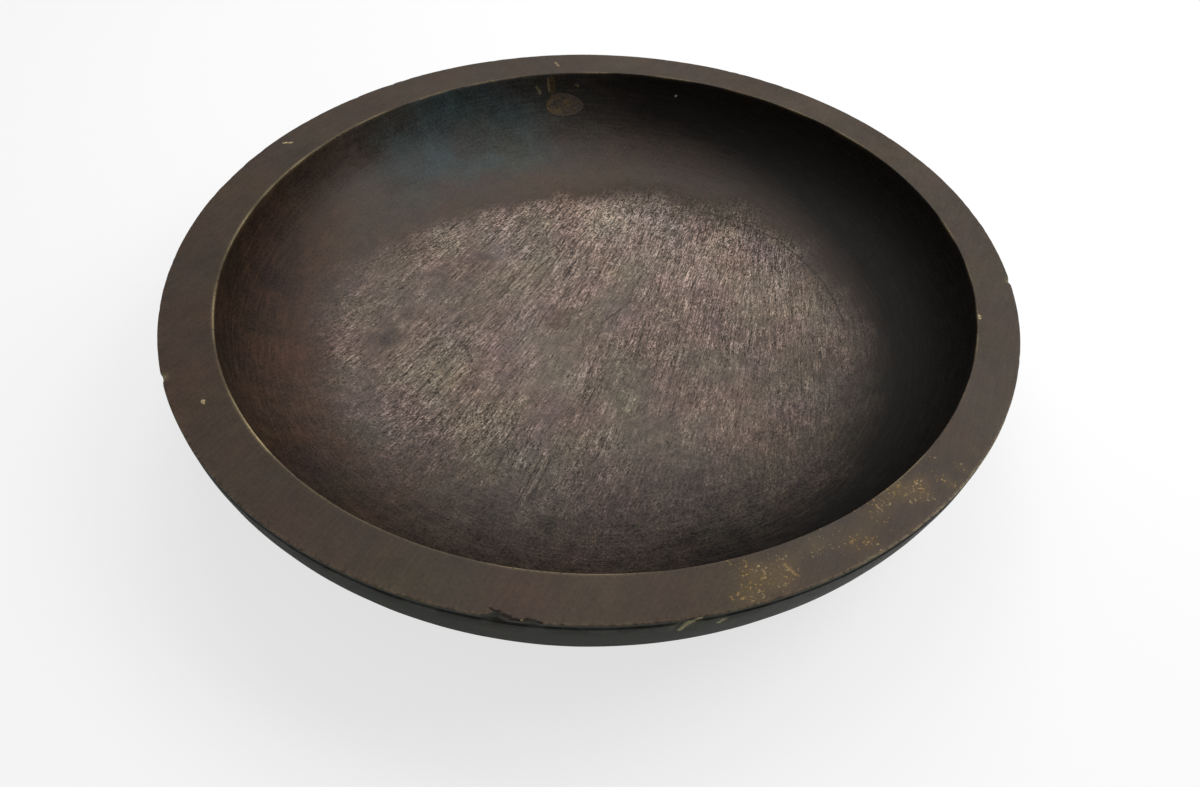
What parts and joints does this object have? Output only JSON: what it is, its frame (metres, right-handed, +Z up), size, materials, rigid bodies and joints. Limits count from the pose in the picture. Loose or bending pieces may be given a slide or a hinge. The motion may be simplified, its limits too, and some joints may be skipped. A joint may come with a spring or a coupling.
{
  "type": "serving bowl",
  "caption": "Low round wooden serving bowl with a broad flat rim, a deep hollow with a dished floor, a flat foot and a plugged knot hole.",
  "frame": {"origin": "middle of the flat foot, on the surface that the bowl stands on", "axes": "+X the bowl's longer way across, which lies within about 30 degrees of the grain; +Y the shorter way; +Z up out of the hollow"},
  "size_m": [0.458, 0.44, 0.075],
  "materials": {
    "dark_wood": "dark handled patina, worn paler on the floor and edges",
    "knot_plug": "dry, matt, ochre"
  },
  "bodies": {
    "root": {"bowl_body": "dark_wood", "knot_plug": "knot_plug"}
  },
  "joints": []
}
